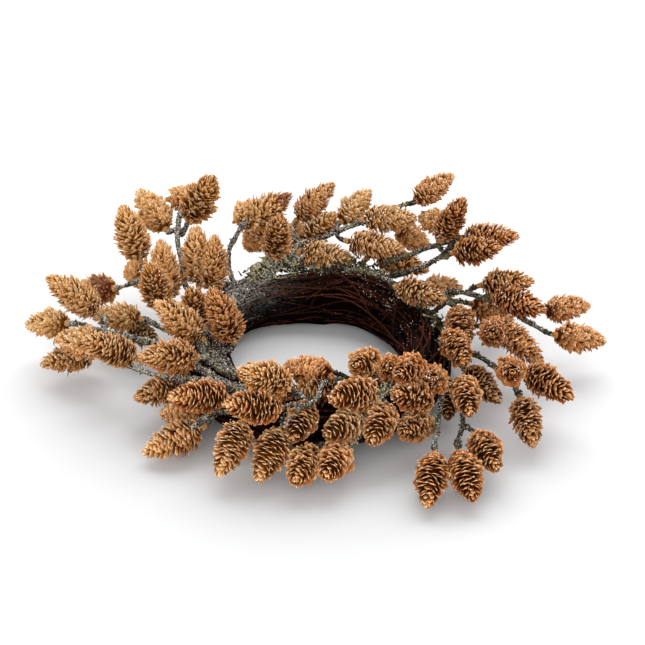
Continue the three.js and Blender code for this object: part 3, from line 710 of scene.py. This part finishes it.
def cone_scales(foot, axis, length, girth, fluff, stained, marks, rng):
    """The scales of one cone in a spiral. With more fluff they are more slender, ragged and spread."""
    def between(pair, share=fluff):
        return pair[0] + (pair[1] - pair[0]) * share

    # Where their tips lie along the cone: closer together at its foot and at its tip.
    size = length / CONE_LENGTH
    count = round(between(SCALES) * size**2 * girth)
    fine = np.linspace(0.0, 1.0, 200)
    density = radius_of_cone(fine) + 0.0012 + 0.007 * np.exp((fine - 1) / 0.04) + 0.006 * np.exp(-fine / 0.06)
    surface = np.cumsum(density)
    surface = (surface - surface[0]) / (surface[-1] - surface[0])
    tip_share = np.interp((np.arange(count) + 0.5) / count, surface, fine)
    turn = GOLDEN_ANGLE * np.arange(count) + rng.uniform(0, 2 * math.pi) + rng.normal(0, TURN_STRAY, count)

    # Their middle lines, as shares along the cone and radii.
    spread = rng.normal(0, between(REACH_STRAY), count)
    spread = spread + np.where(rng.random(count) < RAISED_SCALES * fluff, RAISED_REACH, 0)
    soon = fluff**0.6
    forward = between(SCALE_FORWARD, soon) + FORWARD_AT_TIP * tip_share**2
    forward = forward + rng.normal(0, between(FORWARD_STRAY), count)
    near_foot = np.clip(1.2 - tip_share / FOOT_SHARE, 0, 1)
    forward = forward + (rng.uniform(*FOOT_FORWARD, count) - forward) * near_foot
    root_share = np.minimum(np.maximum(tip_share - forward, 0.0), CORE_ENDS)
    tip_radius = girth * size * radius_of_cone(tip_share) * (between(SCALE_REACH) + spread)
    root_radius = ROOT_REACH * girth * size * radius_of_cone(root_share)
    root = np.stack([root_share * length, root_radius], axis=1)
    tip = np.stack([tip_share * length, tip_radius], axis=1)
    arch = between(SCALE_ARCH, soon) + ARCH_AT_TIP * tip_share + rng.normal(0, between(ARCH_STRAY), count)
    arch = arch[:, None]
    knee = root + (tip - root) * np.hstack([1 - arch, arch])
    s = SCALE_STATIONS[None, :, None]
    line = (1 - s) ** 2 * root[:, None] + 2 * s * (1 - s) * knee[:, None] + s**2 * tip[:, None]
    slope = unit(2 * (1 - s) * (knee - root)[:, None] + 2 * s * (tip - knee)[:, None])
    normal = np.stack([-slope[:, :, 1], slope[:, :, 0]], axis=2)

    # Their outlines across those lines, narrower where the cone is slender. At each station there are four
    # points: the left edge, the ridge of the outer side, the right edge and the middle of the inner side.
    room = np.clip(0.4 + 0.66 * tip_radius / 0.0085, 0.4, 1.12)
    half = (between(SCALE_HALF_WIDTH) * room * rng.uniform(0.7, 1.18, count))[:, None]
    half = half * ((1 - fluff) * BROAD_SCALE + fluff * SLENDER_SCALE)
    zero = np.zeros_like(half)
    thick = np.full_like(half, between(SCALE_THICKNESS) / 2) * np.clip(0.5 + 0.7 * s[:, :, 0], 0, 1)
    edge_drop = (between(EDGE_DROP) + rng.normal(0, between(DROP_STRAY), count))[:, None] * half
    across = np.stack([-half, zero, half, zero], axis=2)
    above = np.stack([-edge_drop, thick, -edge_drop, -thick], axis=2)
    twist = rng.normal(0, between(TWIST_STRAY), count)[:, None, None]
    turned = across * np.cos(twist) - above * np.sin(twist)
    above = across * np.sin(twist) + above * np.cos(twist)
    lean = rng.normal(0, TIP_LEAN, count)[:, None] * s[:, :, 0] ** 2
    across = turned + lean[:, :, None]

    # The points in space, and the faces.
    side = any_side_of(axis)
    other = np.cross(axis, side)
    radial, tangent = directions_round(turn, side, other), directions_round(turn, other, -side)
    in_plane = line[:, :, None, :] + above[..., None] * normal[:, :, None, :]
    points = (
        foot
        + in_plane[..., 0, None] * axis
        + in_plane[..., 1, None] * radial[:, None, None]
        + across[..., None] * tangent[:, None, None]
    )
    stations = len(SCALE_STATIONS)
    faces = [wall(stations, 4), *ends(stations, 4)]
    points, faces = repeated(points.reshape(count, stations * 4, 3), faces)

    stain = (tip_share >= stained[0]) * (tip_share <= stained[1]) * rng.random(count) ** 0.25
    stain = stain * np.clip(0.2 + 4 * radial @ STAINED_SIDE, 0, 1)
    shade = rng.random(count)
    # The side of the cone that is turned up carries more frost.
    frost = np.clip(0.45 + 0.5 * radial[:, 2] + rng.normal(0, 0.2, count), 0, 1)
    own = {"shade": shade, "frost": frost, "stain": stain}
    own = {name: np.repeat(value, 4 * stations) for name, value in own.items()}
    own["along"] = np.tile(np.repeat(SCALE_STATIONS, 4), count)
    own["edge"] = np.tile([1.0, 0, 1, 0], stations * count)
    own["inner"] = np.tile([0.5, 0, 0.5, 1], stations * count)
    outer = points.reshape(count, stations, 4, 3)[:, 2:, 1]
    return part(points, faces, **own, **marks), outer.reshape(-1, 3)


def cone_core(stalk_end, foot, axis, length, girth, marks):
    """The middle of a cone, painted dark as shade, with the paler collar where it joins its stalk."""
    size = length / CONE_LENGTH
    shares = np.linspace(0, CORE_ENDS, 8)
    collar = np.array([stalk_end, foot - 0.0012 * axis])
    way = np.vstack([collar, foot + np.outer(shares * length, axis)])
    swelling = CONE_CORE * girth * size * radius_of_cone(shares) * np.clip(0.5 + 2 * shares, 0, 1)
    radii = np.concatenate([COLLAR_RADII, swelling])
    radii[-1] *= 0.3
    sides = 8
    along = np.repeat(np.concatenate([[0.55, 0.6], np.full(len(shares) - 1, 0.1), [0.7]]), sides)
    own = {"along": along, "edge": 0.8, "inner": 0.0, "shade": 0.5, "frost": 0.7, "stain": 0.0}
    return tube(way, radii[:, None], sides, **own, **marks)


def bark_tube(way, root_radius, end_radius, rng, frost):
    steps = max(3, round(length_of(way) / BARK_STEP))
    line = spaced(way, steps)
    taper = np.linspace(root_radius, end_radius, steps + 1)
    fixed = range(0, steps + 6, 5)
    knots = np.interp(np.arange(steps + 1), fixed, rng.uniform(-1, 1, len(fixed)))
    grain = 1 + BARK_GRAIN * rng.uniform(-1, 1, (steps + 1, TWIG_SIDES))
    radii = (taper * (1 + BARK_KNOBS * knots))[:, None] * grain
    made = tube(line, radii, TWIG_SIDES, frost=frost)
    # More frost lies on its upper side.
    up = unit(made["points"].reshape(steps + 1, TWIG_SIDES, 3) - line[:, None])[..., 2]
    made["marks"]["frost"] = frost * np.clip(0.55 + 0.6 * up, 0.05, 1).ravel()
    return made, line, radii.mean(axis=1)


def frosted_twig(way, root_radius, end_radius, frosted, rng):
    """The parts of a twig, with knobs on its bark, and the places and sizes of the grains of frost on it."""
    tube_part, line, radii = bark_tube(way, root_radius, end_radius, rng, frosted)
    knobs, knob_sizes = grains_on(line, radii, KNOBS_PER_METRE, rng, KNOB_RADII)
    parts = [tube_part, crumbs(knobs, knob_sizes, rng, frost=0.7 * frosted)]
    fewest, most = TWIG_GRAINS_PER_METRE
    return parts, line, grains_on(line, radii, fewest + (most - fewest) * frosted, rng, TWIG_GRAIN_RADII)


def grains_on(line, radii, per_metre, rng, sizes):
    """Places for grains on a twig, more of them on its upper side, and their radii."""
    count = rng.poisson(per_metre * length_of(line))
    at = rng.integers(0, len(line) - 1, count)
    share = rng.random((count, 1))
    middle = line[at] * (1 - share) + line[at + 1] * share
    along = unit(line[at + 1] - line[at])
    heading = rng.normal(0, 1, (count, 3)) + np.array([0, 0, 0.6])
    heading = unit(heading - (heading * along).sum(1)[:, None] * along)
    centres = middle + heading * radii[at][:, None] * rng.uniform(0.95, 1.1, (count, 1))
    return centres, rng.uniform(*sizes, count)


def warmth(foot, rng):
    """How red-brown a cone is: more to the right and in front than to the left and behind."""
    return float(np.clip(0.48 + 2.6 * foot[0] - 1.2 * foot[1] + rng.normal(0, 0.16), 0, 1))


def painted_shade_at(foot):
    """Painted shade on a cone: more to the right and behind than to the left and in front."""
    return float(0.6 * np.clip(0.5 + 8 * foot[0] + 5 * foot[1], 0, 1))


def frostiness(way, rng):
    """How frosted a twig is: more to the left than to the right."""
    spot = way[len(way) // 2]
    return float(np.clip(0.5 - 4.2 * spot[0] + rng.normal(0, 0.14), 0.05, 1))


def make_spray(spray, index, materials):
    rng = np.random.default_rng([SEED, 2, index])
    root_radius, end_radius = spray["twig"] * TWIG_ROOT_RADIUS, spray["twig"] * TWIG_END_RADIUS
    places = [on_bundle(at, over, root_radius - TWIG_SINK)[0] for at, over in spray["seat"]]
    places += [place(spot) for spot in spray.get("reach", [])]
    twigs = [(smooth_way(places), root_radius)]
    bark, scales, grains = [], [], []

    def stations(way):
        return spaced(way, 4 * max(2, round(length_of(way) / TWIG_STEP)))

    def nearest(points, aim):
        return points[np.argmin(np.linalg.norm(points - aim, axis=1))]

    def add_twig(way, thickest, thinnest):
        twig_parts, line, frost = frosted_twig(way, thickest, thinnest, frostiness(way, rng), rng)
        bark.extend(twig_parts)
        grains.append(frost)
        return line

    for fork in spray.get("forks", []):
        way = [place(spot) for spot in fork]
        root = nearest(stations(twigs[0][0]), way[0])
        twigs.append((smooth_way([root, *way]), (root_radius + end_radius) / 2))
    seats = np.vstack([stations(way) for way, _ in twigs])
    for way, thickest in twigs:
        add_twig(way, thickest, end_radius)
    for number, cone in enumerate(spray["cones"], 1):
        foot, axis, length = place(cone[:3]), direction(cone[0] + cone[3], cone[4]), cone[5]
        root = nearest(seats, foot - STALK_AIM * axis)
        gap = float(np.linalg.norm(foot - root))
        bend = foot - min(STALK_BEND_SHARE * gap, STALK_STRAIGHT) * axis
        leave = root + STALK_LEAVE_SHARE * (bend - root)
        line = add_twig(bezier(root, leave, bend, foot, 30), STALK_RADIUS * 1.15, STALK_RADIUS)
        fluff, warm = float(np.clip(spray["fluff"] + rng.normal(0, 0.1), 0, 1)), warmth(foot, rng)
        fluff, warm = spray.get("unlike", {}).get(number, (fluff, warm))
        # The cone's painted shade (dim): the most of that for its place and for its spray, and full for the
        # darkest cones.
        shaded = float(number in spray.get("shaded", []))
        marks = {"warm": warm, "ragged": fluff, "dim": max(painted_shade_at(foot), spray.get("dim", 0.0), shaded)}
        collar = line[np.argmin(np.abs(np.linalg.norm(line - foot, axis=1) - COLLAR_LENGTH))]
        scales.append(cone_core(collar, foot, axis, length, spray["girth"], marks))
        stained = spray.get("stained", {}).get(number, UNSTAINED)
        scale_part, outer = cone_scales(foot, axis, length, spray["girth"], fluff, stained, marks, rng)
        scales.append(scale_part)
        chosen = outer[rng.random(len(outer)) < FROSTED_POINTS]
        jitter = rng.normal(0, 0.0003, chosen.shape)
        grains.append((chosen + jitter, rng.uniform(*SCALE_GRAIN_RADII, len(chosen))))

    name = spray["name"]
    replaced = ["spray_" + name]
    make_piece(f"cones_{name}", scales, materials["cone"], replaced, smooth=False)
    make_piece(f"twigs_{name}", bark, materials["bark"], replaced)
    centres, sizes = (np.concatenate(each) for each in zip(*grains))
    make_piece(f"frost_{name}", [crumbs(centres, sizes, rng)], materials["frost"])


# Frost, lichen and small twigs on the vine ring

# Patches of grains: degrees round the ring at both ends, degrees over the bundle at both ends, the number of
# grains, and their radii.
FROST_PATCHES = [
    (0, 360, 0, 200, 900, (0.0001, 0.00019)),
    (118, 172, 40, 130, 3600, (0.0002, 0.00055)),
    (170, 225, 50, 150, 700, (0.00016, 0.0004)),
    (30, 80, 60, 130, 120, (0.00014, 0.0003)),
    (0, 30, 60, 160, 60, (0.00014, 0.0003)),
]
LICHEN_PATCHES = [
    (98, 124, 36, 84, 420, (0.0004, 0.0009)),
    (60, 84, 60, 100, 150, (0.0003, 0.0007)),
    (36, 48, 80, 130, 24, (0.0003, 0.0006)),
]
# Heaps of short threads: a way of places, how far they stray from it, how many are lichen and how many are
# twigs, and the twigs' frost at most.
HEAPS = [
    ([(122, 0.011, 0.03), (116, 0.014, 0.033), (110, 0.016, 0.035), (103, 0.018, 0.036), (97, 0.023, 0.039)],
     0.0021, 560, 160, 0.5),
    ([(120, 0.01, 0.031), (107, 0.012, 0.033), (96, 0.014, 0.034)], 0.002, 130, 130, 0.3),
    ([(101, 0.012, 0.03), (92, 0.01, 0.031), (83, 0.008, 0.033)], 0.0022, 50, 150, 0.3),
    ([(150, 0.006, 0.028), (142, 0.009, 0.028), (133, 0.01, 0.029)], 0.0022, 6, 120, 1.0),
    ([(176, -0.005, 0.025), (164, -0.002, 0.026), (152, 0.002, 0.027)], 0.0026, 10, 110, 1.0),
    ([(84, 0.006, 0.034), (74, 0.01, 0.035), (64, 0.012, 0.033), (54, 0.012, 0.031)], 0.0028, 12, 200, 0.18),
    ([(34, 0.002, 0.03), (20, 0.006, 0.03), (6, 0.008, 0.029)], 0.0026, 14, 120, 0.2),
    ([(292, 0.018, 0.036), (297, 0.016, 0.037), (302, 0.012, 0.036)], 0.0015, 90, 60, 0.8),
]
# Bare twigs among the cones: radius in metres, how frosted it is, and the way of places.
BARE_TWIGS = [
    (0.0014, 0.4, [(275, 0.001, 0.04), (272.8, 0.0092, 0.044), (270.2, 0.0245, 0.044),
        (267, 0.0306, 0.044), (263.2, 0.0306, 0.0445), (260, 0.0294, 0.042)]),
    (0.0016, 0.5, [(265.5, 0.0312, 0.044), (262.5, 0.0344, 0.0375), (260.3, 0.0373, 0.034)]),
    (0.0014, 0.1, [(276, -0.021, 0.034), (284, -0.0134, 0.035), (292, -0.006, 0.032), (298, 0.002, 0.028)]),
    (0.0012, 0.3, [(275, -0.0092, 0.033), (284.7, -0.0094, 0.034), (292, -0.008, 0.031)]),
    (0.0018, 0.8, [(287, 0.024, 0.021), (282.5, 0.0297, 0.017), (279, 0.0302, 0.014)]),
    (0.0027, 0.55, [(187, 0.006, 0.038), (203, 0.002, 0.035), (219, -0.001, 0.032), (232, -0.003, 0.029)]),
    (0.0025, 0.7, [(203, 0.016, 0.036), (216, 0.013, 0.034), (231, 0.008, 0.031), (240, 0.004, 0.029)]),
    (0.0024, 0.35, [(196, 0.006, 0.039), (214, 0.007, 0.037), (230, 0.004, 0.034)]),
    (0.002, 0.6, [(208, 0.034, 0.031), (217, 0.02, 0.032), (227, 0.011, 0.032), (238, 0.006, 0.029)]),
    (0.0023, 0.2, [(26, 0.01, 0.033), (23.6, 0.0164, 0.037), (16.4, 0.0191, 0.036), (10.6, 0.0228, 0.035),
        (7.5, 0.0273, 0.033)]),
    (0.0016, 0.3, [(60, 0.02, 0.036), (52.7, 0.0283, 0.041), (48.4, 0.0408, 0.044), (43.9, 0.0551, 0.047)]),
    (0.0018, 0.5, [(84, 0.012, 0.032), (66, 0.009, 0.034), (44, 0.007, 0.032)]),
    (0.0018, 0.85, [(231, 0.02, 0.024), (231, 0.034, 0.022), (230.6, 0.044, 0.02)]),
]
THREAD_LENGTHS = (0.0014, 0.0042)
THREAD_RADII = (0.00045, 0.001)


def threads(way, stray, count, mark, most, rng):
    """Short bent threads in a heap along a way of places, each with a mark up to the most given."""
    line = smooth_way([place(spot) for spot in way])
    parts = []
    for _ in range(count):
        at = rng.integers(1, len(line) - 1)
        onward = unit(line[at + 1] - line[at - 1]) * rng.choice([-1, 1])
        heading = unit(onward + rng.normal(0, 0.8, 3))
        steps = np.linspace(0, 1, 5)[:, None]
        bent = steps * heading + steps**2 * rng.normal(0, 0.35, 3)
        points = line[at] + rng.normal(0, stray, 3) + rng.uniform(*THREAD_LENGTHS) * bent
        radii = rng.uniform(*THREAD_RADII) * np.linspace(1, 0.45, 5)
        parts.append(tube(points, radii[:, None], 4, **{mark: most * rng.random()}))
    return parts


def patch_grains(patches, rng):
    parts = []
    for first, last, low, high, count, sizes in patches:
        all_round = last - first == 360
        middle = (first + last) / 2
        rounds = rng.uniform(0, 360, count) if all_round else rng.triangular(first, middle, last, count)
        overs = rng.uniform(low, high, count)
        points, _ = on_bundle(rounds, overs, STRAND_HIGHEST + rng.uniform(-0.0012, 0.0006, count))
        parts.append(crumbs(points, rng.uniform(*sizes, count), rng))
    return parts


# Stage, lights and camera

def make_stage():
    mesh = bpy.data.meshes.new("floor")
    corners = [(x * FLOOR_REACH, y * FLOOR_REACH, 0) for x, y in ((-1, -1), (1, -1), (1, 1), (-1, 1))]
    mesh.from_pydata(corners, [], [(0, 1, 2, 3)])
    mesh.materials.append(Material("pale_floor", Roughness=0.9).set(Base_Color=FLOOR_COLOUR))
    add_object("floor", mesh)


def make_light(name, location, size, power):
    data = bpy.data.lights.new(name, "AREA")
    data.shape, data.size, data.energy = "DISK", size, power
    light = add_object(name, data)
    light.location = location
    light.rotation_euler = (Vector(LIGHTS_AIM) - Vector(location)).to_track_quat("-Z", "Y").to_euler()


def make_lights():
    make_light("key", (0.08, 1.2, 0.9), 2.8, 62)
    make_light("fill", (-0.1, -1.5, 0.5), 2.2, 22)
    world = bpy.data.worlds.new("soft_white")
    world.use_nodes = True
    tree = world.node_tree
    background = tree.nodes["Background"]
    background.inputs["Color"].default_value = (1, 1, 1, 1)
    way = tree.nodes.new("ShaderNodeTexCoord").outputs["Generated"]
    height = tree.nodes.new("ShaderNodeSeparateXYZ")
    strength = tree.nodes.new("ShaderNodeMapRange")
    strength.inputs["To Min"].default_value = SKY_LOW
    strength.inputs["To Max"].default_value = SKY_HIGH
    tree.links.new(way, height.inputs["Vector"])
    tree.links.new(height.outputs["Z"], strength.inputs["Value"])
    tree.links.new(strength.outputs["Result"], background.inputs["Strength"])
    bpy.context.scene.world = world


def make_camera():
    data = bpy.data.cameras.new("camera")
    data.sensor_width = 36
    data.lens = CAMERA_LENS
    camera = add_object("camera", data)
    x, y, z = CAMERA_AIM
    level, up = CAMERA_AWAY * math.cos(CAMERA_ELEVATION), CAMERA_AWAY * math.sin(CAMERA_ELEVATION)
    camera.location = (x, y - level, z + up)
    camera.rotation_euler = (math.pi / 2 - CAMERA_ELEVATION, 0, 0)
    bpy.context.scene.camera = camera


materials = {
    "cone": cone_material(),
    "vine": vine_material(),
    "bark": bark_material(),
    "frost": frost_material(),
    "lichen": lichen_material(),
}
make_camera()
make_stage()
make_lights()
bpy.context.scene.view_settings.view_transform = "Standard"
vine_ring(materials["vine"])
for index, spray in enumerate(SPRAYS):
    make_spray(spray, index, materials)
ring_rng = np.random.default_rng([SEED, 3])
lichen = patch_grains(LICHEN_PATCHES, ring_rng)
ring_frost = patch_grains(FROST_PATCHES, ring_rng)
small_twigs = []
for radius, frosted, way in BARE_TWIGS:
    line = smooth_way([place(spot) for spot in way])
    twig_parts, _, frost = frosted_twig(line, radius, radius * 0.85, frosted, ring_rng)
    small_twigs += twig_parts
    ring_frost.append(crumbs(*frost, ring_rng))
for way, stray, lichen_count, twig_count, most_frost in HEAPS:
    lichen += threads(way, stray, lichen_count, "shade", 1.0, ring_rng)
    small_twigs += threads(way, stray, twig_count, "frost", most_frost, ring_rng)
make_piece("frost_ring", ring_frost, materials["frost"])
make_piece("lichen_ring", lichen, materials["lichen"])
make_piece("small_twigs_ring", small_twigs, materials["bark"])
